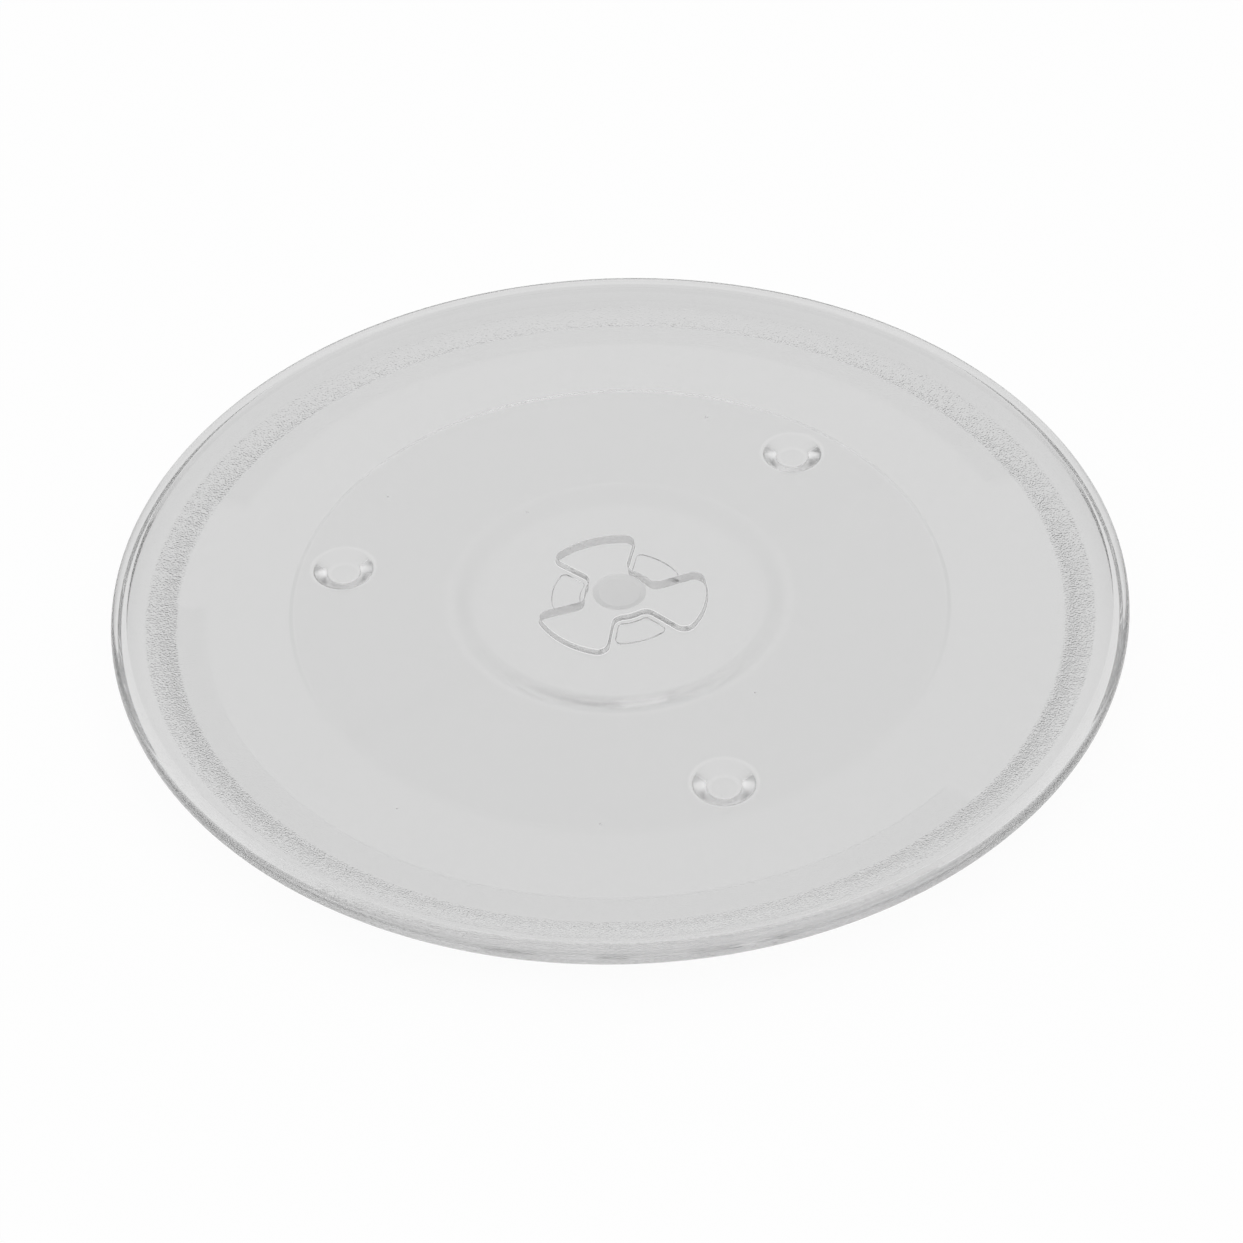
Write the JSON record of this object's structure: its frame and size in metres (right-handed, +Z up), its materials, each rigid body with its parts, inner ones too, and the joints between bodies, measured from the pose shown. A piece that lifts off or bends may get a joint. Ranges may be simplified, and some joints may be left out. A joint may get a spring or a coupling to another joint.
{
  "type": "microwave turntable plate",
  "caption": "Round shallow dish of clear pressed glass with a coved rounded rim, low feet, a roller track and a lobed drive socket under its middle.",
  "frame": {"origin": "on the plate's axis, in the plane that its feet stand on", "axes": "+Z up out of the dish, +X through the middle of the longer raised panel under the rim"},
  "size_m": [0.255, 0.255, 0.0121],
  "materials": {
    "clear_glass": "clear pressed glass, smooth on top, with a fine stipple on the underside"
  },
  "bodies": {
    "root": {"turntable_plate": "clear_glass"}
  },
  "joints": []
}
